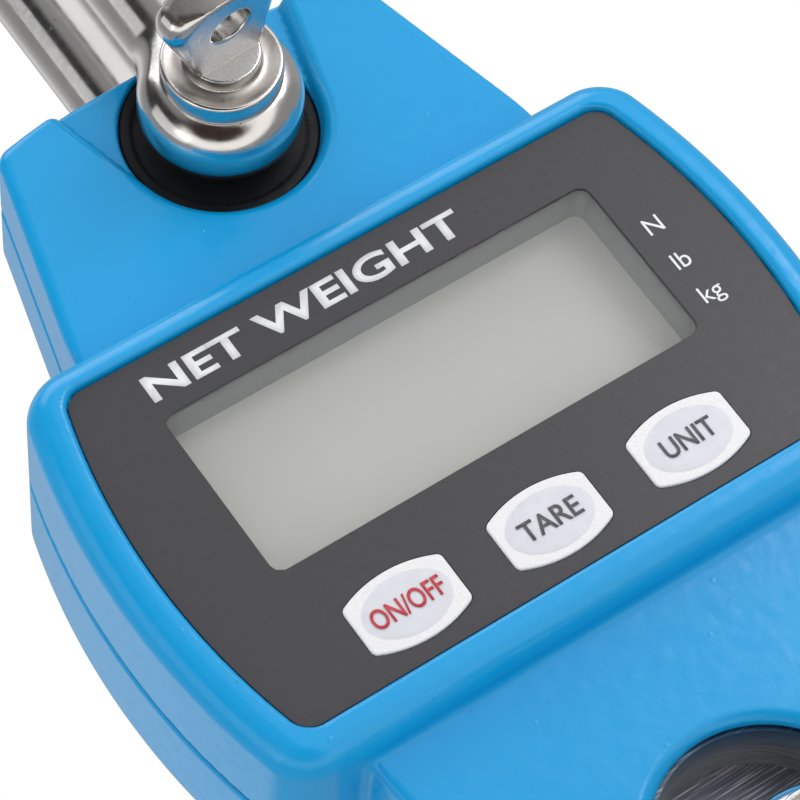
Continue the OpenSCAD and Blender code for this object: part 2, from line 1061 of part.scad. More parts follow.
module latch_spring() {
    room = latch_half - sheet - lug_half - 2 * spring_wire_r - 0.2;
    color(steel)
        translate([latch_at[0], lug_half + 0.1 + spring_wire_r, latch_at[1]])
            rotate([-90, 0, 0])
                rotate([0, 0, -latch_tilt])
                    tube(coil_path(spring_r, spring_r, room, 2), spring_wire_r, 6, [0, 0, 1]);
}

shackle_bow();
shackle_pin();
front_housing();
rear_housing();
housing_gasket();
head_screws();
neck_screws();
load_cell();
strain_gauges();
gauge_covers();
gauge_cable();
cell_screws();
front_bush();
rear_bush();
label_panel();
display_window();
display_bezel();
lcd_glass();
lcd_backlight();
lcd_connector();
main_board();
board_components();
board_screws();
key_switches();
key_on_off();
key_tare();
key_unit();
plunger_on_off();
plunger_tare();
plunger_unit();
battery_tray();
battery_contacts();
battery_springs();
battery_cells();
battery_lead_red();
battery_lead_black();
battery_door();
lower_shackle_bow();
lower_shackle_pin();
hook();
latch_pin();
latch_spring();
safety_latch();
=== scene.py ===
"""Crane scale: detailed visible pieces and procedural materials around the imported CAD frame.

Lengths are in millimetres in the row frame until a mesh is made, and metres in Blender.
The cast, forged and turned pieces are rounded signed distance fields turned into quad meshes.
"""
import json
import math

import bmesh
import bpy
import numpy as np
from mathutils import Matrix, Vector


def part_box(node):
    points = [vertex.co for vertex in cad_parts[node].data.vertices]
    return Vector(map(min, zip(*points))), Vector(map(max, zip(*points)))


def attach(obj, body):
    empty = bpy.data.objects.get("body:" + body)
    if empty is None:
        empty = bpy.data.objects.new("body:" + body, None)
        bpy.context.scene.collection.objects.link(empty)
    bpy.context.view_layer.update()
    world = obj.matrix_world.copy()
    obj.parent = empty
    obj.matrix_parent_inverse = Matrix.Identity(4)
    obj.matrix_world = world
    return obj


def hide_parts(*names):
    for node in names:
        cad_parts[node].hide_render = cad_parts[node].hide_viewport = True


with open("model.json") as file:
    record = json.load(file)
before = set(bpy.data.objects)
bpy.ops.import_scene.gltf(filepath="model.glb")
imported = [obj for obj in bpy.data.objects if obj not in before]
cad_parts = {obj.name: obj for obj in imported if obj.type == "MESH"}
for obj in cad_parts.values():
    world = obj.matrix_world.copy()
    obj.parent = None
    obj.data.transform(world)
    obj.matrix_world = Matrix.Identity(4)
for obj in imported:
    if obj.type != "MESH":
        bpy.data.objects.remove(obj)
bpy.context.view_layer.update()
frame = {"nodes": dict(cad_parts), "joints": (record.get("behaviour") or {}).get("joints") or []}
MM = 0.001
FAR = 1e3


# ---------- places taken from the frame ----------

def low(node):
    """Lowest corner of a CAD node in millimetres."""
    return np.array(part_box(node)[0]) / MM


def high(node):
    """Highest corner of a CAD node in millimetres."""
    return np.array(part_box(node)[1]) / MM


def pivot(name):
    """Position of a hinge in millimetres."""
    joint = next(j for j in frame["joints"] if j["name"] == name)
    return np.array(joint["pos_m"]) / MM


# Front details are drawn around the display's middle, so heights named here count from DISPLAY_Z
DISPLAY_Z = (low("display_window")[2] + high("display_window")[2]) / 2
WINDOW_HALF = (high("display_window") - low("display_window")) / 2
UPPER_PIN = pivot("scale_swing")
LOWER_PIN = pivot("lower_shackle_swing")
LOWER_BAR = pivot("hook_swing")
LATCH = pivot("latch_swing")
UPPER_EYE = UPPER_PIN[2] - DISPLAY_Z
LOWER_EYE = -69.2
HEAD_HALF = high("front_housing")[0]
FRONT_Y = low("front_housing")[1]
LABEL_Y = low("label_panel")[1]
SHELF_Y = high("label_panel")[1]
PART_Y = high("front_housing")[1]

# Housing
HEAD_UP = 25.0
HEAD_DOWN = 36.4
HEAD_SIDE_R = 100.0
HEAD_CORNER_R = 5.0
HEAD_ROUND = 3.6
HEAD_WALL = 2.4
NECK_Y = -11.1
NECK_ROUND = 1.5
NECK_POINTS = [(0, 60), (18.5, 59.3), (26.6, 57.4), (34.6, 26), (34.6, -36), (25.5, -94), (0, -94)]
NECK_WALL = 2.3
FACE_WALL = 2.2
BACK_WALL = 2.7
BUSH_HOLE_R = 12.8
CHANNEL_FLOOR = -9.0
CHANNEL_SPLAY = math.radians(15.7)
CHANNEL_DRAFT = 0.45
LOW_SPLAY = math.radians(6)
LIP_R = 14.0
LIP_SLOPE = 0.55
SCREWS_HEAD = [(41.2, 17.3), (41.2, -28.7)]
SCREWS_NECK = [(22.6, 50), (25.5, -52)]
CELL_SCREW = (13, 27.5)
SCREW_RECESS_R = 2.9
SCREW_HOLE_R = 1.7
HEAD_BOSS_R = 3.2
NECK_BOSS_R = 3.8
CELL_RECESS_R = 3.7
CELL_HOLE_R = 2.2
CELL_BOSS_R = 5
NECK_SEAT_Y = 8.6
HEAD_SEAT_Y = 14.1
DOOR_HALF = 36.2
DOOR_TOP = high("battery_door")[2] - DISPLAY_Z
DOOR_INNER_Y = 14.2
TONGUE_Y = 15.1
RAIL_X = (36.5, 39)
RAIL_Y = (12.9, 14.4)
RAIL_Z = (-35.4, 18.6)
GRIP_RIBS = 4
GRIP_HALF = 9
GRIP_R = 0.42
GRIP_Z = 8.4
GRIP_PITCH = 2

# Label and keys
LABEL_HALF = high("label_panel")[0]
LABEL_UP = 20.8
LABEL_DOWN = 31.0
LABEL_SIDE_R = 90.0
KEY_PITCH = 20.4
KEY_Z = -23.8
KEY_HALF = 7.03
KEY_UP = 5.0
KEY_CROWN = 1.65
KEY_FRONT = low("key_tare")[1] + 0.02
KEY_BACK = -12.85
KEY_DISH = 0.22
OVAL_HALF = (6.0, 4.0)
PRINT_T = 0.02

# Shackles and their pins
BAR_R = 6.0
ARM_Y = 15.5
CROWN_R = ARM_Y - BAR_R
EYE_R = 10.5
EYE_HALF_W = 5.5
PIN_FACE = -21.0
PIN_END = 20.6
COLLAR_R = 7.75
COLLAR_Y = -24.4
STEP_Y = -26.1
NECK_R = 4.85
TAB_Y = low("shackle_pin")[1]
TAB_CORNER = 3.4
TAB_HALF_T = 1.65
TAB_THICKENS = 0.09
TAB_FLARE = 0.34
TAB_LEAN = 0.11
TAB_CROWN_R = 22
TAB_HOLE = (-0.7, -34.4)
TAB_HOLE_R = 2.8
PIN_FINISHES = ("chrome", "satin", "milled", "dull", "cast")

# Bushes
BUSH_R = 12.72
BUSH_FACE = -8.6

# Hook
BOWL_R = 23.0
HOOK_R = 6.3
BOWL_Z = low("hook")[2] + BOWL_R + 6.5
RING_R = 16.5
RING_BAR_R = 5.5
EYE_Z = LOWER_BAR[2] + 6.1 - (RING_R - RING_BAR_R) - BOWL_Z
TIP_Z = 9.0
TIP_R = 4.1
SWAN_TURN = 60
SWAN_START = BOWL_R * 0.866
LUG_R = 3.6
LUG_HALF = 2.2
LUG_HOLE_R = 1.55

# Camera, solved from the photo: degrees round the object from -Y, degrees up and degrees clockwise,
# metres to its aim, the aim in X and Z from the display's middle, lens, and rough unit direction
CAMERA_TURN = -20.483
CAMERA_RISE = -22.276
CAMERA_ROLL = 37.646
CAMERA_DISTANCE = 0.46212
CAMERA_AIM = (-5.63, -0.78)
CAMERA_LENS = 173.93
TOWARDS_CAMERA = (-0.324, -0.867, -0.379)

# Grid steps of the meshes in millimetres
SHELL_STEP = 0.45
BUSH_STEP = 0.35
KEY_STEP = 0.14
BOW_STEP = 0.45
PIN_STEP = 0.2
HOOK_STEP = 0.6


# ---------- signed distance fields ----------

def join(a, b, r):
    """Union with a concave fillet of radius r."""
    return np.maximum(np.minimum(a, b), r) - np.hypot(np.maximum(r - a, 0), np.maximum(r - b, 0))


def meet(a, b, r):
    """Intersection with a rounded edge of radius r."""
    return np.minimum(np.maximum(a, b), -r) + np.hypot(np.maximum(a + r, 0), np.maximum(b + r, 0))


def cut(a, b, r):
    """a without b, its new edge rounded to radius r."""
    return meet(a, -b, r)


def band(v, v0, v1):
    """Distance to the slab between v0 and v1."""
    return np.abs(v - (v0 + v1) / 2) - (v1 - v0) / 2


def rod(x, z, r, at=(0, 0)):
    """Endless bar along Y."""
    return np.hypot(x - at[0], z - at[1]) - r


def box2(x, z, half_x, half_z, r):
    """Rectangle with round corners."""
    return meet(np.abs(x) - half_x, np.abs(z) - half_z, r)


def barrel(x, z, half_w, up, down, side_r, r):
    """Plate outline with bulging sides."""
    middle = (up - down) / 2
    side = np.hypot(np.abs(x) + side_r - half_w, z - middle) - side_r
    return meet(side, np.abs(z - middle) - (up + down) / 2, r)


def head2(x, z):
    """Outline of the raised head."""
    return barrel(x, z, HEAD_HALF, HEAD_UP, HEAD_DOWN, HEAD_SIDE_R, HEAD_CORNER_R)


def neck2(x, z):
    """Outline of the necks above and below the head, from its corner points on one side."""
    x = np.abs(x)
    d = -FAR
    for (x0, z0), (x1, z1) in zip(NECK_POINTS, NECK_POINTS[1:]):
        n = Vector((z0 - z1, x1 - x0)).normalized()
        d = meet(d, (x - x0) * n[0] + (z - z0) * n[1], NECK_ROUND)
    return d


def label2(x, z):
    """Outline of the label plate."""
    return barrel(x, z, LABEL_HALF, LABEL_UP, LABEL_DOWN, LABEL_SIDE_R, 2.0)


def key2(x, z, grow=0.0):
    """Outline of a key: straight sides, crowned above and below."""
    crown_r = (KEY_HALF ** 2 + KEY_CROWN ** 2) / (2 * KEY_CROWN)
    crown = np.hypot(x, np.abs(z) + crown_r - KEY_UP) - crown_r
    return meet(np.abs(x) - KEY_HALF, crown, 0.5) - grow


def slot2(x, z, r, splay):
    """Round-ended slot that opens upwards from its centre at the origin."""
    along = z * math.cos(splay) + np.abs(x) * math.sin(splay)
    across = np.abs(x) * math.cos(splay) - z * math.sin(splay)
    return np.where(along > 0, across - r, np.hypot(x, z) - r)


def casting(x, y, z):
    """Outer form of the front half of the body; the rear half is its mirror image."""
    head = meet(head2(x, z), FRONT_Y - y, HEAD_ROUND)
    neck = meet(neck2(x, z), NECK_Y - y, NECK_ROUND)
    return join(head, neck, 1.4)


def top_slot(x, y, z, grow=0.0):
    """Channel in the upper neck that opens towards the front by its draft."""
    return slot2(x, z - UPPER_EYE, BUSH_HOLE_R + grow + (CHANNEL_FLOOR - y) * CHANNEL_DRAFT,
                 CHANNEL_SPLAY)


def shell(x, y, z, wall_y):
    """Hollow half with its channels, before the details of front or rear."""
    hollow_head = meet(head2(x, z) + HEAD_WALL, wall_y - y, 1.0)
    hollow_neck = meet(neck2(x, z) + NECK_WALL, NECK_Y + 1.9 - y, 1.0)
    pad = np.maximum(top_slot(x, y, z, 2), y - CHANNEL_FLOOR - 1.6)
    hollow = cut(join(hollow_head, hollow_neck, 1.0), pad, 0.6)
    body = cut(casting(x, y, z), hollow, 0.6)
    for at in SCREWS_HEAD:
        body = join(body, np.maximum(rod(np.abs(x), z, HEAD_BOSS_R, at), wall_y - 1 - y), 0.8)
    for at in SCREWS_NECK:
        body = join(body, np.maximum(rod(np.abs(x), z, NECK_BOSS_R, at), NECK_Y + 1 - y), 0.8)
    body = cut(body, np.maximum(top_slot(x, y, z), y - CHANNEL_FLOOR), 1.1)
    body = cut(body, rod(x, z, BUSH_HOLE_R, (0, UPPER_EYE)), 0.5)
    lip_r = LIP_R + np.maximum(NECK_Y + 2.0 - y, 0) * LIP_SLOPE
    low_slot = np.maximum(slot2(x, LOWER_EYE - z, lip_r, LOW_SPLAY), y - NECK_Y - 2.2)
    body = cut(body, low_slot, 1.1)
    return meet(body, y - PART_Y, 0.5)


def front_field(x, y, z):
    """Front shell with its label recess, window opening and key holes."""
    z = z - DISPLAY_Z
    body = shell(x, y, z, SHELF_Y + FACE_WALL)
    body = cut(body, np.maximum(label2(x, z) - 0.25, y - SHELF_Y), 0.8)
    body = cut(body, np.maximum(box2(x, z, WINDOW_HALF[0] + 1.6, WINDOW_HALF[2] + 1.6, 3), y + 12), 0.4)
    for i in (-1, 0, 1):
        body = cut(body, np.maximum(key2(x - i * KEY_PITCH, z - KEY_Z, 0.3), y + 12), 0.4)
    return body


def rear_field(x, y, z):
    """Rear shell with door rails, door opening and screw recesses."""
    z = z - DISPLAY_Z
    body = shell(x, -y, z, FRONT_Y + BACK_WALL)
    rails = np.maximum(band(np.abs(x), *RAIL_X), np.maximum(band(y, *RAIL_Y), band(z, *RAIL_Z)))
    body = join(body, rails, 0.5)
    body = join(body, np.maximum(rod(np.abs(x), z, CELL_BOSS_R, CELL_SCREW), band(y, 7.4, 9.7)), 0.6)
    above_door = z - DOOR_TOP - 0.2
    door = np.maximum(np.abs(x) - DOOR_HALF - 0.2, np.maximum(above_door, 13.5 - y))
    tongue = np.maximum(np.abs(x) - DOOR_HALF - 1.2, np.maximum(above_door, band(y, 14.05, 15.3)))
    body = cut(cut(body, door, 0.4), tongue, 0.3)
    screws = [(at, HEAD_SEAT_Y, SCREW_RECESS_R, SCREW_HOLE_R) for at in SCREWS_HEAD]
    screws += [(at, NECK_SEAT_Y, SCREW_RECESS_R, SCREW_HOLE_R) for at in SCREWS_NECK]
    screws.append((CELL_SCREW, NECK_SEAT_Y, CELL_RECESS_R, CELL_HOLE_R))
    for at, seat, recess_r, hole_r in screws:
        body = cut(body, np.maximum(rod(np.abs(x), z, recess_r, at), seat - y), 0.5)
        body = cut(body, rod(np.abs(x), z, hole_r, at), 0.3)
    return body


def door_field(x, y, z):
    """Sliding battery cover with its tongue and four grip ribs."""
    z = z - DISPLAY_Z
    plate = meet(np.abs(x) - DOOR_HALF, meet(z - DOOR_TOP, DOOR_INNER_Y - y, 0.4), 0.4)
    plate = meet(plate, casting(x, -y, z), 0.5)
    tongue = np.maximum(band(z, -30.4, DOOR_TOP - 1), band(y, DOOR_INNER_Y, TONGUE_Y))
    body = join(plate, np.maximum(np.abs(x) - DOOR_HALF - 1, tongue), 0.2)
    for i in range(GRIP_RIBS):
        rib = meet(np.abs(x) - GRIP_HALF, np.hypot(z - GRIP_Z - GRIP_PITCH * i, y + FRONT_Y) - GRIP_R, 0.3)
        body = join(body, rib, 0.25)
    return body


def bow_field(x, y, z):
    """Forged D-shackle, the inside of its crown at the origin and its arms downwards."""
    round_crown = np.hypot(y, z + CROWN_R)
    off_bar = np.abs(np.where(z > -CROWN_R, round_crown, np.abs(y)) - ARM_Y)
    arm = np.maximum(np.hypot(x, off_bar) - BAR_R, UPPER_PIN[2] + 5 - z)
    eye = meet(rod(x, z, EYE_R, (0, UPPER_PIN[2])), np.abs(np.abs(y) - ARM_Y) - EYE_HALF_W, 4.3)
    return cut(join(arm, eye, 2.5), rod(x, z, BAR_R + 0.25, (0, UPPER_PIN[2])), 0.6)


def pin_field(x, y, z):
    """Screw pin on the Y axis: shank, dished collar, short neck and flared flat tab towards -Y."""
    r = np.hypot(x, z)
    shank = meet(r - BAR_R, band(y, PIN_FACE, PIN_END), 0.8)
    collar = meet(r - COLLAR_R, band(y, COLLAR_Y, PIN_FACE + 0.3), 0.75)
    collar = cut(collar, np.hypot(r - 5.9, (y - COLLAR_Y + 2.4) * 0.8) - 2.25, 0.5)
    out = STEP_Y - y
    beyond = np.clip(out, 0, 20)
    neck = meet(r - NECK_R, out, 0.25)
    across = x + TAB_LEAN * beyond
    crown = np.hypot(across, y - TAB_Y - TAB_CROWN_R) - TAB_CROWN_R
    plan = meet(np.abs(across) - NECK_R + 0.1 - TAB_FLARE * out, crown, TAB_CORNER)
    towards_side = np.clip((np.abs(across) - 3.5) / 2.5, 0, 1)
    edge = 0.8 + towards_side * (np.clip(0.3 + 0.2 * out, 0.3, 2.4) - 0.8)
    plate = meet(plan, np.abs(z) - TAB_HALF_T - TAB_THICKENS * beyond, edge)
    plate = cut(plate, np.hypot(x - TAB_HOLE[0], y - TAB_HOLE[1]) - TAB_HOLE_R, 0.4)
    head = np.minimum(neck, np.maximum(plate, y - STEP_Y - 1))
    return join(join(shank, collar, 0.25), np.maximum(head, y - PIN_FACE), 0.3)


def key_field(x, y, z):
    """Key cap with a shallow oval dome, centred on its own axis."""
    oval = 1 - np.clip((x / OVAL_HALF[0]) ** 2 + (z / OVAL_HALF[1]) ** 2, 0, 1)
    top = KEY_FRONT - KEY_DISH * np.sqrt(oval) * (1 - 0.35 * oval)
    cap = np.maximum(meet(key2(x, z), top - y, 0.25), y - KEY_BACK)
    flange = meet(key2(x, z, 1.0), band(y, KEY_BACK, KEY_BACK + 0.95), 0.2)
    post = np.maximum(np.hypot(x, z) - 1.5, band(y, KEY_BACK, high("key_tare")[1]))
    return join(join(cap, flange, 0.15), post, 0.3)


def bush_field(x, y, z):
    """Nylon bush, its flange towards -Y, centred on the pin."""
    r = np.hypot(x, z)
    flange = meet(r - BUSH_R, band(y, BUSH_FACE, BUSH_FACE + 1.3), 0.35)
    flange = cut(flange, meet(r - BUSH_R + 1.52, y - BUSH_FACE - 0.25, 0.3), 0.25)
    sleeve = meet(r - 7.17, band(y, -8.0, -0.1), 0.3)
    return cut(join(flange, sleeve, 0.3), r - BAR_R - 0.06, 0.3)


def hook_field(x, y, z):
    """Forged eye hook in its own frame: the bowl's centre at the origin, the eye above."""
    mouth = (x > 0) & (z > 0)
    above_bowl = (x < 0) & (z > SWAN_START)
    swelling = np.clip((1 - np.cos(np.arctan2(z, x) + 1.2)) / 2, 0, 1)
    bowl = np.hypot(np.hypot(x, z) - BOWL_R, y * 1.08) - (HOOK_R + 0.5 - swelling)
    bowl = np.where(mouth | above_bowl, FAR, bowl)
    tip = np.sqrt((x - BOWL_R) ** 2 + y ** 2 + (z - TIP_Z) ** 2) - TIP_R
    taper = np.maximum(np.hypot(x - BOWL_R, y) - (HOOK_R - 0.22 * z), band(z, 0, TIP_Z))
    swan_x, swan_z = x + BOWL_R, z - 2 * BOWL_R * math.sin(math.radians(SWAN_TURN))
    turn = np.radians(np.clip(np.degrees(np.arctan2(swan_z, swan_x)), -SWAN_TURN, 0))
    near_x, near_z = BOWL_R * np.cos(turn), BOWL_R * np.sin(turn)
    swan = np.sqrt((swan_x - near_x) ** 2 + (y * 1.05) ** 2 + (swan_z - near_z) ** 2) - HOOK_R
    ring = np.hypot(np.hypot(x, z - EYE_Z) - RING_R, y) - RING_BAR_R
    body = join(join(bowl, swan, 1.5), join(tip, taper, 0.5), 1.0)
    body = join(body, ring, 3.0)
    lug_x, lug_z = x - LATCH[0], z - (LATCH[2] - BOWL_Z)
    lug = np.minimum(np.maximum(np.abs(lug_z) - LUG_R, band(lug_x, -7, 0)), np.hypot(lug_x, lug_z) - LUG_R)
    body = join(body, np.maximum(lug, np.abs(y) - LUG_HALF), 0.8)
    return cut(body, np.hypot(lug_x, lug_z) - LUG_HOLE_R, 0.3)


# ---------- meshes ----------

def gradient(field, p, h=0.02):
    """Slope of a field at each point."""
    x, y, z = p.T
    return np.stack([
        field(x + h, y, z) - field(x - h, y, z),
        field(x, y + h, z) - field(x, y - h, z),
        field(x, y, z + h) - field(x, y, z - h),
    ], 1) / (2 * h)


def surface_nets(field, corner0, corner1, step):
    """Vertices and quads on the zero surface of a field, one vertex per crossed cell."""
    axes = [np.arange(a - 2 * step, b + 2.5 * step, step) for a, b in zip(corner0, corner1)]
    shape = tuple(len(a) for a in axes)
    value = np.broadcast_to(field(*np.ix_(*axes)), shape)
    origin = np.array([a[0] for a in axes])
    inside = value < 0
    cells, places, quads = [], [], []
    for a in range(3):
        b, c = (a + 1) % 3, (a + 2) % 3
        head = [slice(None)] * 3
        tail = [slice(None)] * 3
        head[a] = slice(0, -1)
        tail[a] = slice(1, None)
        crossed = np.argwhere(inside[tuple(head)] != inside[tuple(tail)])
        ahead = crossed.copy()
        ahead[:, a] += 1
        v0, v1 = value[tuple(crossed.T)], value[tuple(ahead.T)]
        place = crossed.astype(float)
        place[:, a] += v0 / (v0 - v1)
        around = []
        for ob, oc in ((1, 1), (0, 1), (0, 0), (1, 0)):
            cell = crossed.copy()
            cell[:, b] -= ob
            cell[:, c] -= oc
            around.append(np.ravel_multi_index(tuple(cell.T), shape))
            places.append(place)
        around = np.stack(around, 1)
        quads.append(np.where((v0 < 0)[:, None], around, around[:, ::-1]))
        cells += [around[:, k] for k in range(4)]
    ids, index = np.unique(np.concatenate(cells), return_inverse=True)
    count = np.bincount(index)
    place = np.concatenate(places)
    points = np.stack([np.bincount(index, place[:, k]) / count for k in range(3)], 1) * step + origin
    quads = np.searchsorted(ids, np.concatenate(quads))
    for _ in range(4):
        g = gradient(field, points)
        move = (field(*points.T) / np.maximum((g * g).sum(1), 0.05))[:, None] * g
        points = points - np.clip(move, -0.5 * step, 0.5 * step)
    return points, quads


def solid(name, field, corner0, corner1, step, offset=(0, 0, 0)):
    """Mesh object from a field, with its normals taken from the field."""
    points, quads = surface_nets(field, corner0, corner1, step)
    mesh = bpy.data.meshes.new(name)
    mesh.from_pydata(points.tolist(), [], quads.tolist())
    normals = gradient(field, points)
    normals /= np.maximum(np.linalg.norm(normals, axis=1), 1e-6)[:, None]
    mesh.shade_smooth()
    mesh.normals_split_custom_set_from_vertices(normals.tolist())
    mesh.transform(Matrix.Scale(MM, 4) @ Matrix.Translation(Vector(offset)))
    return piece(name, mesh)


def piece(name, mesh):
    """Object of a mesh, linked to the scene."""
    obj = bpy.data.objects.new(name, mesh)
    bpy.context.scene.collection.objects.link(obj)
    return obj


def place(obj, body, material, slot, *replaced):
    """Gives a piece its material and its body, and hides the CAD nodes it stands for; slot is not used."""
    if material is not None:
        obj.data.materials.clear()
        obj.data.materials.append(material)
    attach(obj, body)
    if replaced:
        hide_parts(*replaced)
    return obj


def outline(field2, count, reach=80.0):
    """Points around the origin where a star-shaped 2-D outline's distance is zero."""
    angle = np.linspace(0, 2 * math.pi, count, endpoint=False)
    near, far = np.zeros(count), np.full(count, reach)
    for _ in range(40):
        mid = (near + far) / 2
        inside = field2(mid * np.cos(angle), mid * np.sin(angle)) < 0
        near, far = np.where(inside, mid, near), np.where(inside, far, mid)
    return np.stack([near * np.cos(angle), near * np.sin(angle)], 1)


def sheet_mesh(name, loops, y0, y1, edge):
    """Flat plate in X and Z from y0 to y1 with holes and slightly rounded edges."""
    curve = bpy.data.curves.new(name, "CURVE")
    curve.dimensions = "2D"
    curve.fill_mode = "BOTH"
    for loop in loops:
        spline = curve.splines.new("POLY")
        spline.points.add(len(loop) - 1)
        spline.points.foreach_set("co", np.c_[loop, np.zeros(len(loop)), np.ones(len(loop))].ravel())
        spline.use_cyclic_u = True
    curve.extrude = (y1 - y0) / 2 - edge
    curve.bevel_depth = edge
    curve.bevel_resolution = 2
    curve.offset = -edge
    return from_curve(name, curve, (y0 + y1) / 2)


def from_curve(name, curve, y):
    """Turns a curve drawn in X and Y into a mesh that faces -Y at depth y, in metres."""
    temp = bpy.data.objects.new(name + "_curve", curve)
    bpy.context.scene.collection.objects.link(temp)
    bpy.context.view_layer.update()
    mesh = bpy.data.meshes.new_from_object(temp.evaluated_get(bpy.context.evaluated_depsgraph_get()))
    bpy.data.objects.remove(temp)
    mesh.transform(Matrix.Scale(MM, 4) @ Matrix.Translation((0, y, 0)) @ Matrix.Rotation(math.pi / 2, 4, "X"))
    mesh.name = name
    return mesh


def lettering(name, text, x, z, height, y, bold=0.0, width=None, centred=False):
    """Raised print of a generic legend: x is its left edge or middle, z its base line."""
    curve = bpy.data.curves.new(name, "FONT")
    curve.body = text
    curve.size = 1.0
    curve.resolution_u = 6
    curve.offset = bold
    mesh = from_curve(name, curve, 0)
    co = np.array([v.co for v in mesh.vertices]) / MM
    lo, hi = co.min(0), co.max(0)
    scale_z = height / (hi[2] - lo[2])
    scale_x = scale_z if width is None else width / (hi[0] - lo[0])
    start = (lo[0] + hi[0]) / 2 if centred else lo[0]
    across = (co[:, 0] - start) * scale_x + x
    co = np.stack([across, np.full(len(co), y), (co[:, 2] - lo[2]) * scale_z + z], 1)
    mesh.vertices.foreach_set("co", (co * MM).astype(np.float32).ravel())
    bm = bmesh.new()
    bm.from_mesh(mesh)
    bmesh.ops.remove_doubles(bm, verts=bm.verts, dist=1e-7)
    raised = bmesh.ops.extrude_face_region(bm, geom=bm.faces[:])
    bmesh.ops.translate(bm, vec=(0, -PRINT_T * MM, 0),
                        verts=[v for v in raised["geom"] if isinstance(v, bmesh.types.BMVert)])
    bmesh.ops.recalc_face_normals(bm, faces=bm.faces)
    bm.to_mesh(mesh)
    bm.free()
    return piece(name, mesh)


# ---------- materials ----------

class Nodes:
    """Small helper that wires a procedural material."""

    def __init__(self, name, colour, rough, metal=0.0, **sockets):
        self.material = bpy.data.materials.new(name)
        self.material.use_nodes = True
        self.tree = self.material.node_tree
        self.shader = self.tree.nodes["Principled BSDF"]
        self.shader.inputs["Base Color"].default_value = (*colour, 1)
        self.shader.inputs["Roughness"].default_value = rough
        self.shader.inputs["Metallic"].default_value = metal
        for key, value in sockets.items():
            self.shader.inputs[key.replace("_", " ")].default_value = value
        self.height = None
        self.coords = self.add("ShaderNodeTexCoord").outputs["Object"]

    def add(self, kind, **props):
        node = self.tree.nodes.new(kind)
        for key, value in props.items():
            setattr(node, key, value)
        return node

    def link(self, a, b):
        self.tree.links.new(a, b)

    def stretched(self, scale):
        """Object coordinates with a scale of their own along each axis."""
        mapping = self.add("ShaderNodeMapping")
        mapping.inputs["Scale"].default_value = scale
        self.link(self.coords, mapping.inputs["Vector"])
        return mapping.outputs["Vector"]

    def noise(self, scale, detail=3.0, stretch=None, rough=0.5):
        node = self.add("ShaderNodeTexNoise")
        node.inputs["Scale"].default_value = scale
        node.inputs["Detail"].default_value = detail
        node.inputs["Roughness"].default_value = rough
        self.link(self.coords if stretch is None else self.stretched(stretch), node.inputs["Vector"])
        return node.outputs["Fac"]

    def spots(self, scale, size):
        """1 inside small round spots scattered at random, 0 outside."""
        node = self.add("ShaderNodeTexVoronoi")
        node.inputs["Scale"].default_value = scale
        self.link(self.coords, node.inputs["Vector"])
        return self.ramp(node.outputs["Distance"], size * 0.6, size, 1.0, 0.0)

    def ramp(self, fac, p0, p1, v0, v1):
        """Maps p0 to p1 onto v0 to v1, held at the ends."""
        node = self.add("ShaderNodeMapRange")
        node.inputs["From Min"].default_value = p0
        node.inputs["From Max"].default_value = p1
        node.inputs["To Min"].default_value = v0
        node.inputs["To Max"].default_value = v1
        self.link(fac, node.inputs["Value"])
        return node.outputs["Result"]

    def times(self, a, b):
        node = self.add("ShaderNodeMath", operation="MULTIPLY")
        self.link(a, node.inputs[0])
        self.link(b, node.inputs[1])
        return node.outputs[0]

    def colour(self, fac, dark, light):
        """Base colour runs between two colours."""
        node = self.add("ShaderNodeMix", data_type="RGBA")
        node.inputs[6].default_value = (*dark, 1)
        node.inputs[7].default_value = (*light, 1)
        self.link(fac, node.inputs[0])
        self.link(node.outputs[2], self.shader.inputs["Base Color"])

    def tint(self, fac, colour):
        """Lays a further colour over the base colour where fac is high."""
        old = self.shader.inputs["Base Color"].links[0].from_socket
        node = self.add("ShaderNodeMix", data_type="RGBA")
        self.link(fac, node.inputs[0])
        self.link(old, node.inputs[6])
        node.inputs[7].default_value = (*colour, 1)
        self.link(node.outputs[2], self.shader.inputs["Base Color"])

    def roughness(self, fac, a, b):
        """Roughness runs from a to b with a noise."""
        self.link(self.ramp(fac, 0.3, 0.7, a, b), self.shader.inputs["Roughness"])

    def bump(self, fac, depth):
        """Adds a bump of that depth in millimetres on top of the earlier ones."""
        node = self.add("ShaderNodeBump")
        node.inputs["Strength"].default_value = 1.0
        node.inputs["Distance"].default_value = depth * MM
        self.link(fac, node.inputs["Height"])
        if self.height is not None:
            self.link(self.height, node.inputs["Normal"])
        self.height = node.outputs["Normal"]
        self.link(self.height, self.shader.inputs["Normal"])


def blue_paint():
    m = Nodes("blue_paint", (0.001, 0.345, 0.735), 0.20, Specular_IOR_Level=0.5)
    m.colour(m.noise(45, 3), (0.001, 0.338, 0.715), (0.002, 0.358, 0.755))
    m.tint(m.spots(300, 0.035), (0.003, 0.14, 0.36))
    m.roughness(m.noise(500, 2), 0.17, 0.26)
    m.bump(m.noise(420, 2, rough=0.4), 0.05)
    m.bump(m.spots(180, 0.07), 0.03)
    return m.material


def label_film():
    m = Nodes("label_film", (0.046, 0.044, 0.050), 0.30, Specular_IOR_Level=0.45)
    m.colour(m.noise(900, 4), (0.042, 0.040, 0.046), (0.051, 0.049, 0.055))
    m.tint(m.spots(900, 0.035), (0.15, 0.15, 0.16))
    m.roughness(m.noise(700, 3), 0.26, 0.36)
    m.bump(m.noise(1800, 3), 0.006)
    return m.material


def ink(name, colour):
    """Screen print of one colour."""
    m = Nodes(name, colour, 0.42)
    m.colour(m.noise(1500, 3), [c * 0.93 for c in colour], [min(1.0, c * 1.04) for c in colour])
    m.bump(m.noise(2500, 2), 0.004)
    return m.material


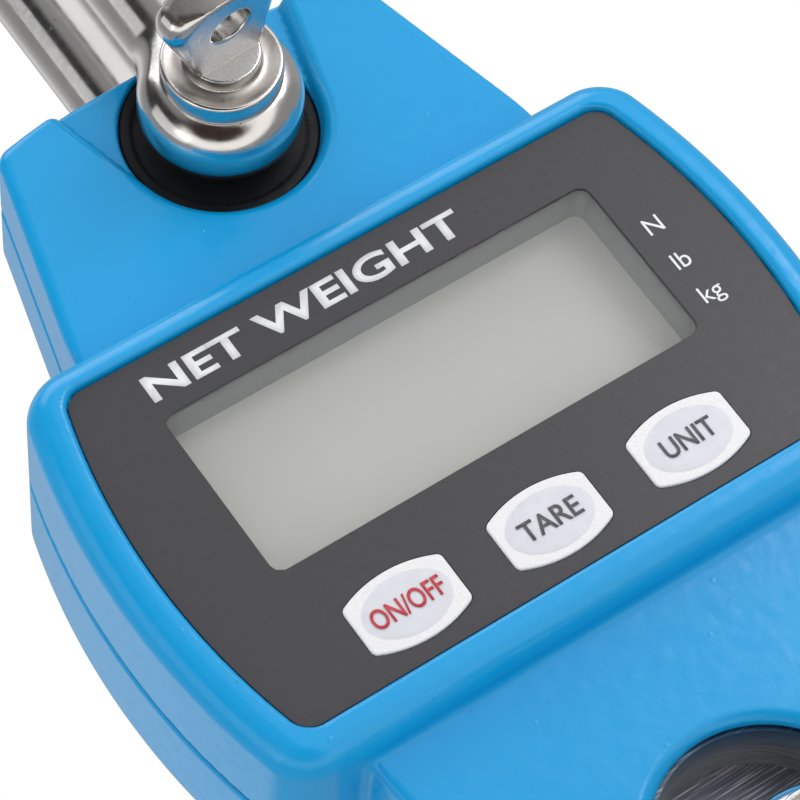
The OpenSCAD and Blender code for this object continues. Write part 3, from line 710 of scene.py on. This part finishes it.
def moulded(name, colour, rough, grain=1200.0, depth=0.015):
    """Plastic with a fine even grain."""
    m = Nodes(name, colour, rough)
    m.colour(m.noise(grain * 0.3, 3), [c * 0.9 for c in colour], [min(1.0, c * 1.08) for c in colour])
    m.roughness(m.noise(grain, 3), rough * 0.9, rough * 1.12)
    m.bump(m.noise(grain, 3), depth)
    return m.material


def chrome_plate():
    m = Nodes("chrome_plate", (0.70, 0.685, 0.665), 0.16, 1.0)
    m.colour(m.noise(130, 5), (0.66, 0.635, 0.61), (0.80, 0.785, 0.765))
    m.tint(m.spots(420, 0.06), (0.22, 0.17, 0.14))
    m.roughness(m.noise(700, 5), 0.13, 0.22)
    m.bump(m.noise(1300, 5), 0.010)
    m.bump(m.noise(110, 2), 0.03)
    m.bump(m.spots(420, 0.07), 0.02)
    return m.material


def milled_steel():
    m = Nodes("milled_steel", (0.66, 0.655, 0.645), 0.24, 1.0)
    streaks = m.noise(1.0, 4, stretch=(3200, 300, 3200))
    m.colour(streaks, (0.50, 0.49, 0.48), (0.80, 0.79, 0.78))
    m.roughness(streaks, 0.16, 0.36)
    m.bump(streaks, 0.02)
    return m.material


def cell_steel():
    """Turned and milled steel: streaks run round the bores and along X on the flat faces; a painted blue
    reflection lies on the bore near the front and painted shade darkens the flat faces.
    """
    m = Nodes("cell_steel", (0.50, 0.51, 0.53), 0.30, 1.0)
    round_streaks = m.noise(1.0, 4, stretch=(160, 5200, 160))
    flat_streaks = m.noise(1.0, 4, stretch=(120, 120, 5200))
    normal = m.add("ShaderNodeSeparateXYZ")
    m.link(m.add("ShaderNodeNewGeometry").outputs["Normal"], normal.inputs[0])
    facing = m.add("ShaderNodeMath", operation="ABSOLUTE")
    m.link(normal.outputs["Y"], facing.inputs[0])
    mix = m.add("ShaderNodeMix")
    m.link(m.ramp(facing.outputs[0], 0.45, 0.55, 0.0, 1.0), mix.inputs[0])
    m.link(round_streaks, mix.inputs[2])
    m.link(flat_streaks, mix.inputs[3])
    streaks = mix.outputs[0]
    m.colour(m.ramp(streaks, 0.38, 0.66, 0.0, 1.0), (0.50, 0.51, 0.53), (0.88, 0.89, 0.91))
    at = m.add("ShaderNodeSeparateXYZ")
    m.link(m.coords, at.inputs[0])
    # Painted blue reflection of the paint on the bore wall, strongest near the front and towards +X
    front = m.ramp(at.outputs["Y"], -0.0088, -0.0035, 0.9, 0.0)
    m.tint(m.times(front, m.ramp(at.outputs["X"], -0.012, 0.002, 0.1, 1.0)), (0.06, 0.26, 0.50))
    # Painted shade on the faces that look along Y, left lighter along the bright streaks
    m.tint(m.times(facing.outputs[0], m.ramp(streaks, 0.52, 0.66, 0.8, 0.2)), (0.045, 0.060, 0.088))
    m.roughness(streaks, 0.40, 0.58)
    m.bump(streaks, 0.02)
    return m.material


def brushed(name, colour, rough, stretch=(900, 900, 900)):
    """Metal whose grain follows the given stretch."""
    m = Nodes(name, colour, rough, 1.0)
    grain = m.noise(1.0, 4, stretch=stretch)
    m.colour(grain, [c * 0.82 for c in colour], [min(1.0, c * 1.1) for c in colour])
    m.roughness(grain, rough * 0.8, rough * 1.25)
    m.bump(grain, 0.008)
    return m.material


def pearl_silver():
    m = Nodes("pearl_silver", (0.84, 0.83, 0.85), 0.36)
    sparkle = m.add("ShaderNodeTexVoronoi")
    sparkle.inputs["Scale"].default_value = 9000
    m.link(m.coords, sparkle.inputs["Vector"])
    grey = m.add("ShaderNodeSeparateColor")
    m.link(sparkle.outputs["Color"], grey.inputs[0])
    m.colour(grey.outputs[0], (0.79, 0.78, 0.80), (0.92, 0.91, 0.93))
    m.roughness(m.noise(4000, 2), 0.30, 0.46)
    m.bump(m.noise(6000, 2), 0.003)
    return m.material


def rubber_black():
    m = Nodes("rubber_black", (0.006, 0.006, 0.008), 0.48, Specular_IOR_Level=0.25)
    m.colour(m.noise(200, 4), (0.004, 0.004, 0.006), (0.010, 0.010, 0.012))
    m.roughness(m.noise(900, 4), 0.40, 0.60)
    m.bump(m.noise(1600, 4), 0.02)
    return m.material


def lcd_face():
    m = Nodes("lcd_face", (0.50, 0.50, 0.455), 0.40, Specular_IOR_Level=0.3)
    m.colour(m.noise(18, 2), (0.500, 0.500, 0.455), (0.520, 0.520, 0.475))
    m.bump(m.noise(3000, 2), 0.002)
    return m.material


def clear_pane():
    m = Nodes("clear_pane", (0.95, 0.97, 0.97), 0.04, Alpha=0.06, Specular_IOR_Level=0.3)
    m.roughness(m.noise(300, 2), 0.03, 0.07)
    m.bump(m.noise(60, 2), 0.004)
    return m.material


def board_green():
    m = Nodes("board_green", (0.02, 0.12, 0.05), 0.35)
    m.colour(m.ramp(m.noise(700, 2, stretch=(1, 1, 0.2)), 0.45, 0.55, 0.0, 1.0), (0.012, 0.09, 0.035),
             (0.03, 0.15, 0.06))
    m.bump(m.noise(900, 2), 0.01)
    return m.material


def build_materials():
    """Every material by the short name that the pieces ask for."""
    return {
        "paint": blue_paint(), "film": label_film(), "chrome": chrome_plate(), "milled": milled_steel(),
        "satin": brushed("satin_plate", (0.66, 0.66, 0.67), 0.30, (1500, 400, 1500)),
        "dull": brushed("dull_plate", (0.50, 0.47, 0.44), 0.36, (1800, 1800, 1800)),
        "cast": brushed("worn_plate", (0.30, 0.28, 0.265), 0.40, (2600, 2600, 2600)),
        "cell": cell_steel(), "rubber": rubber_black(), "silver": pearl_silver(), "lcd": lcd_face(),
        "pane": clear_pane(), "board": board_green(),
        "white_ink": ink("white_ink", (0.86, 0.86, 0.86)), "dark_ink": ink("dark_ink", (0.10, 0.10, 0.11)),
        "red_ink": ink("red_ink", (0.60, 0.045, 0.065)),
        "oval": moulded("key_oval", (0.72, 0.73, 0.78), 0.40, 2600, 0.003),
        "bezel": moulded("bezel_grey", (0.215, 0.215, 0.22), 0.5),
        "white_plastic": moulded("white_plastic", (0.8, 0.8, 0.78), 0.5),
        "black_plastic": moulded("black_plastic", (0.03, 0.03, 0.032), 0.45),
        "cable": moulded("cable_grey", (0.5, 0.5, 0.51), 0.45),
        "lead_red": moulded("lead_red", (0.6, 0.02, 0.02), 0.4),
        "cell_jacket": moulded("cell_jacket", (0.10, 0.22, 0.12), 0.35),
        "screw": brushed("screw_steel", (0.60, 0.60, 0.62), 0.28),
        "foil": brushed("gauge_foil", (0.75, 0.55, 0.25), 0.35),
        "tin": brushed("spring_tin", (0.70, 0.70, 0.70), 0.3),
        "forging": brushed("forged_zinc", (0.60, 0.61, 0.63), 0.33),
        "latch": brushed("latch_zinc", (0.72, 0.72, 0.73), 0.3),
    }


# ---------- pieces ----------

def build_body(mat):
    lo = np.array([-HEAD_HALF, FRONT_Y, low("front_housing")[2]])
    hi = np.array([HEAD_HALF, PART_Y, high("front_housing")[2]])
    front = solid("front_shell", front_field, lo, hi, SHELL_STEP)
    place(front, "scale_body", mat["paint"], "blue_paint", "front_housing")
    rear = solid("rear_shell", rear_field, [lo[0], -hi[1], lo[2]], [hi[0], -lo[1], hi[2]], SHELL_STEP)
    place(rear, "scale_body", mat["paint"], "blue_paint", "rear_housing")
    door = solid("battery_cover", door_field, low("battery_door"), high("battery_door"), SHELL_STEP)
    place(door, "battery_door", mat["paint"], "blue_paint", "battery_door")
    for side, node in ((1, "front_bush"), (-1, "rear_bush")):
        bush = solid(node + "_ring", bush_field, [-12.4, BUSH_FACE, -12.4], [12.4, -0.1, 12.4], BUSH_STEP)
        bush.data.transform(Matrix.Translation(Vector((0, 0, UPPER_PIN[2])) * MM))
        if side < 0:
            bush.data.transform(Matrix.Scale(-1, 4, (0, 1, 0)))
            bush.data.flip_normals()
        place(bush, "scale_body", mat["rubber"], "black_bush", node)


def build_label(mat):
    def shifted(loop, dx, dz):
        return loop + np.array([dx, dz])

    window = outline(lambda x, z: box2(x, z, WINDOW_HALF[0] + 0.05, WINDOW_HALF[2] + 0.05, 1.5), 240)
    key = outline(lambda x, z: key2(x, z, 0.12), 120)
    loops = [shifted(outline(label2, 720), 0, DISPLAY_Z), shifted(window, 0, DISPLAY_Z)]
    loops += [shifted(key, i * KEY_PITCH, DISPLAY_Z + KEY_Z) for i in (-1, 0, 1)]
    film = piece("label_film", sheet_mesh("label_film", loops, LABEL_Y, SHELF_Y, 0.05))
    place(film, "scale_body", mat["film"], "label_film", "label_panel")
    y = LABEL_Y - 0.002
    title = lettering("title_print", "NET WEIGHT", -30.5, DISPLAY_Z + 14.5, 3.8, y, 0.025, width=45.5)
    place(title, "scale_body", mat["white_ink"], "label_film")
    units = (("newton", "N", 1.7, 2.4), ("pound", "lb", -4.2, 2.4), ("kilogram", "kg", -10.6, 3.2))
    for name, text, z, height in units:
        unit = lettering("unit_" + name, text, 33.7, DISPLAY_Z + z, height, y)
        place(unit, "scale_body", mat["white_ink"], "label_film")


def build_keys(mat):
    keys = (("on_off", "ON/OFF", -1, 9.9, "red_ink"), ("tare", "TARE", 0, 8.3, "dark_ink"),
            ("unit", "UNIT", 1, 7.4, "dark_ink"))
    for name, text, i, width, ink_name in keys:
        centre = np.array([i * KEY_PITCH, 0, DISPLAY_Z + KEY_Z])
        node = "key_" + name
        reach = KEY_HALF + 1.0
        cap = solid("cap_" + name, key_field, [-reach, KEY_FRONT - 0.3, -6], [reach, high(node)[1], 6],
                    KEY_STEP, offset=centre)
        place(cap, name + "_key", mat["silver"], "key_silver", node)
        cap.data.materials.append(mat["oval"])
        for face in cap.data.polygons:
            c = face.center / MM - Vector(centre)
            in_oval = (c.x / 5.95) ** 2 + (c.z / 3.95) ** 2 < 1
            if face.normal.y < -0.6 and in_oval and c.y < KEY_FRONT - 0.01:
                face.material_index = 1
        word = lettering("legend_" + name, text, centre[0], centre[2] - 1.35, 2.7, KEY_FRONT - 0.24, 0.012,
                         width=width, centred=True)
        place(word, name + "_key", mat[ink_name], "key_silver")


def pin_finish(c, n):
    """Finish of the pin's face at c in millimetres with normal n."""
    if c.y < STEP_Y + 0.1 and abs(n.z) > 0.95:
        return "satin"
    if abs(c.y - STEP_Y) < 0.1 and n.y < -0.9:
        return "milled"
    if c.y > STEP_Y and n.y < -0.6 and math.hypot(c.x, c.z) < 7.2:
        return "dull"
    if c.y < TAB_Y + 5 and n.y < -0.75:
        return "cast"
    return "chrome"


def build_shackles(mat):
    span = [[-11, -23, UPPER_PIN[2] - 11], [11, 23, 12.5]]
    bow = solid("upper_bow", bow_field, *span, BOW_STEP)
    place(bow, "shackle", mat["chrome"], "chrome_plate", "shackle_bow")
    lower = solid("lower_bow", bow_field, *span, BOW_STEP)
    upside_down = Matrix.Rotation(math.pi, 4, "X")
    lower.data.transform(Matrix.Translation(Vector((0, 0, LOWER_BAR[2] + BAR_R)) * MM) @ upside_down)
    place(lower, "lower_shackle", mat["chrome"], "chrome_plate", "lower_shackle_bow")
    for name, body, at, tilt, node in (
            ("upper_screw_pin", "shackle", UPPER_PIN, -4, "shackle_pin"),
            ("lower_screw_pin", "lower_shackle", LOWER_PIN, -25, "lower_shackle_pin")):
        pin = solid(name, pin_field, [-11, TAB_Y, -8.2], [9, 20.7, 8.2], PIN_STEP)
        for finish in PIN_FINISHES:
            pin.data.materials.append(mat[finish])
        for face in pin.data.polygons:
            face.material_index = PIN_FINISHES.index(pin_finish(face.center / MM, face.normal))
        turned = Matrix.Rotation(math.radians(tilt), 4, "Y")
        pin.data.transform(Matrix.Translation(Vector(at) * MM) @ turned)
        place(pin, body, None, "chrome_plate", node)


def build_hook(mat):
    body = solid("forged_hook", hook_field, [-30, -8, -31], [31, 8, 80], HOOK_STEP, offset=(0, 0, BOWL_Z))
    place(body, "hook", mat["forging"], "forged_steel", "hook")


def dress_cad(mat):
    """Materials and softened edges for the CAD nodes that stay."""
    dress = {
        "load_cell": "cell", "strain_gauges": "foil", "gauge_covers": "tin", "gauge_cable": "cable",
        "head_screws": "screw", "neck_screws": "screw", "cell_screws": "screw", "board_screws": "screw",
        "housing_gasket": "rubber", "display_window": "pane", "display_bezel": "bezel", "lcd_glass": "lcd",
        "lcd_backlight": "white_plastic", "lcd_connector": "rubber", "main_board": "board",
        "board_components": "black_plastic", "key_switches": "black_plastic",
        "plunger_on_off": "black_plastic", "plunger_tare": "black_plastic", "plunger_unit": "black_plastic",
        "battery_tray": "black_plastic", "battery_contacts": "tin", "battery_springs": "tin",
        "battery_cells": "cell_jacket", "battery_lead_red": "lead_red",
        "battery_lead_black": "black_plastic", "latch_pin": "screw", "latch_spring": "tin",
        "safety_latch": "latch",
    }
    for node, name in dress.items():
        obj = frame["nodes"][node]
        obj.data.materials.clear()
        obj.data.materials.append(mat[name])
        if node in ("safety_latch", "head_screws", "neck_screws", "cell_screws", "latch_pin"):
            weld = obj.modifiers.new("weld", "WELD")
            weld.merge_threshold = 1e-6
            bevel = obj.modifiers.new("bevel", "BEVEL")
            bevel.width = 0.15 * MM
            bevel.segments = 2
            bevel.limit_method = "ANGLE"
            bevel.angle_limit = math.radians(40)
            bevel.harden_normals = True


# ---------- studio ----------

def build_world():
    """White behind the object for the camera, even light, and a room of its own for reflections."""
    world = bpy.data.worlds.new("studio")
    bpy.context.scene.world = world
    world.use_nodes = True
    tree = world.node_tree
    tree.nodes.clear()
    link = tree.links.new

    def background(strength):
        node = tree.nodes.new("ShaderNodeBackground")
        node.inputs["Strength"].default_value = strength
        return node

    def smooth_step(value, start, end):
        node = tree.nodes.new("ShaderNodeMapRange")
        node.interpolation_type = "SMOOTHSTEP"
        node.inputs["From Min"].default_value = start
        node.inputs["From Max"].default_value = end
        link(value, node.inputs["Value"])
        return node.outputs["Result"]

    def blend(fac, first):
        """Mix of two colours; the second is set or linked by the caller."""
        node = tree.nodes.new("ShaderNodeMix")
        node.data_type = "RGBA"
        link(fac, node.inputs[0])
        link(first, node.inputs[6])
        return node

    backdrop, room, mirrored = background(1.0), background(0.72), background(1.0)
    backdrop.inputs["Color"].default_value = (1, 1, 1, 1)
    room.inputs["Color"].default_value = (0.98, 0.99, 1.0, 1)
    towards = tree.nodes.new("ShaderNodeTexCoord").outputs["Generated"]

    # Grey of the room's walls round the object, by azimuth in degrees from -Y towards +X
    around = tree.nodes.new("ShaderNodeTexGradient")
    around.gradient_type = "RADIAL"
    link(towards, around.inputs["Vector"])
    walls = tree.nodes.new("ShaderNodeValToRGB")
    stops = walls.color_ramp.elements
    for turn, grey in ((-178, 0.50), (-160, 0.80), (-142, 0.50), (-115, 0.30), (-100, 0.30), (-80, 0.03),
                       (-38, 0.03), (-26, 0.26), (0, 0.30), (12, 0.95), (58, 0.95), (75, 0.40), (165, 0.36)):
        stop = stops.new((turn / 360 + 0.25) % 1)
        stop.color = (grey, grey, grey * 1.02, 1)
    for stop in (stops[0], stops[-1]):
        stop.color = (0.165, 0.165, 0.168, 1)
    link(around.outputs["Fac"], walls.inputs[0])

    # Below the horizon: a white table near the camera, grey further round
    stand = tree.nodes.new("ShaderNodeVectorMath")
    stand.operation = "DISTANCE"
    stand.inputs[1].default_value = TOWARDS_CAMERA
    link(towards, stand.inputs[0])
    table = tree.nodes.new("ShaderNodeValToRGB")
    near, far = table.color_ramp.elements
    near.position, near.color = 0.95, (1.15, 1.13, 1.1, 1)
    far.position, far.color = 1.0, (0.30, 0.30, 0.30, 1)
    link(stand.outputs["Value"], table.inputs[0])
    axis = tree.nodes.new("ShaderNodeSeparateXYZ")
    link(towards, axis.inputs[0])
    below = blend(smooth_step(axis.outputs["Z"], 0.10, -0.10), walls.outputs[0])
    link(table.outputs[0], below.inputs[7])

    # The dark camera itself
    seen = blend(smooth_step(stand.outputs["Value"], 0.62, 0.40), below.outputs[2])
    seen.inputs[7].default_value = (0.045, 0.03, 0.026, 1)
    link(seen.outputs[2], mirrored.inputs["Color"])

    path = tree.nodes.new("ShaderNodeLightPath")
    glossy, camera = tree.nodes.new("ShaderNodeMixShader"), tree.nodes.new("ShaderNodeMixShader")
    link(path.outputs["Is Glossy Ray"], glossy.inputs[0])
    link(room.outputs[0], glossy.inputs[1])
    link(mirrored.outputs[0], glossy.inputs[2])
    link(path.outputs["Is Camera Ray"], camera.inputs[0])
    link(glossy.outputs[0], camera.inputs[1])
    link(backdrop.outputs[0], camera.inputs[2])
    link(camera.outputs[0], tree.nodes.new("ShaderNodeOutputWorld").inputs[0])


def build_floor():
    bpy.ops.mesh.primitive_plane_add(size=6, location=(0, 0, low("hook")[2] * MM - 0.02))
    floor = bpy.context.object
    floor.name = "floor"
    paper = Nodes("paper", (0.86, 0.86, 0.86), 0.7)
    paper.colour(paper.noise(3, 2), (0.85, 0.85, 0.85), (0.87, 0.87, 0.87))
    floor.data.materials.append(paper.material)
    floor.visible_glossy = False


def outwards(azimuth, elevation):
    """Unit direction from the object, azimuth in radians from -Y towards +X."""
    return Vector((math.sin(azimuth) * math.cos(elevation), -math.cos(azimuth) * math.cos(elevation),
                   math.sin(elevation)))


def softbox(name, azimuth, elevation, distance, size, power):
    """Area light aimed at the display: angles in degrees, distance and size in metres, watts."""
    light = bpy.data.lights.new(name, "AREA")
    light.shape = "RECTANGLE"
    light.size, light.size_y = size
    light.energy = power
    obj = bpy.data.objects.new(name, light)
    back = outwards(math.radians(azimuth), math.radians(elevation))
    obj.location = Vector((0, 0, DISPLAY_Z * MM)) + back * distance
    obj.rotation_mode = "QUATERNION"
    obj.rotation_quaternion = (-back).to_track_quat("-Z", "Y")
    bpy.context.scene.collection.objects.link(obj)


def build_studio():
    bpy.context.scene.view_settings.view_transform = "Standard"
    build_world()
    build_floor()
    softbox("left_light", -75, 10, 0.9, (0.5, 0.9), 1.0)
    softbox("right_light", 40, 8, 1.0, (0.5, 0.4), 2.4)
    softbox("top_light", 10, 68, 1.0, (0.9, 0.6), 2.6)


def build_camera():
    """Long lens from below left, rolled clockwise, aimed just left of the display's middle."""
    target = Vector((CAMERA_AIM[0], LABEL_Y, DISPLAY_Z + CAMERA_AIM[1])) * MM
    back = outwards(math.radians(CAMERA_TURN), math.radians(CAMERA_RISE))
    data = bpy.data.cameras.new("camera")
    data.lens = CAMERA_LENS
    data.sensor_width = 36
    data.clip_start = 0.01
    camera = bpy.data.objects.new("camera", data)
    camera.location = target + back * CAMERA_DISTANCE
    camera.rotation_mode = "QUATERNION"
    rolled = Matrix.Rotation(-math.radians(CAMERA_ROLL), 3, "Z").to_quaternion()
    camera.rotation_quaternion = (-back).to_track_quat("-Z", "Y") @ rolled
    bpy.context.scene.collection.objects.link(camera)
    bpy.context.scene.camera = camera


materials = build_materials()
build_body(materials)
build_label(materials)
build_keys(materials)
build_shackles(materials)
build_hook(materials)
dress_cad(materials)
build_studio()
build_camera()
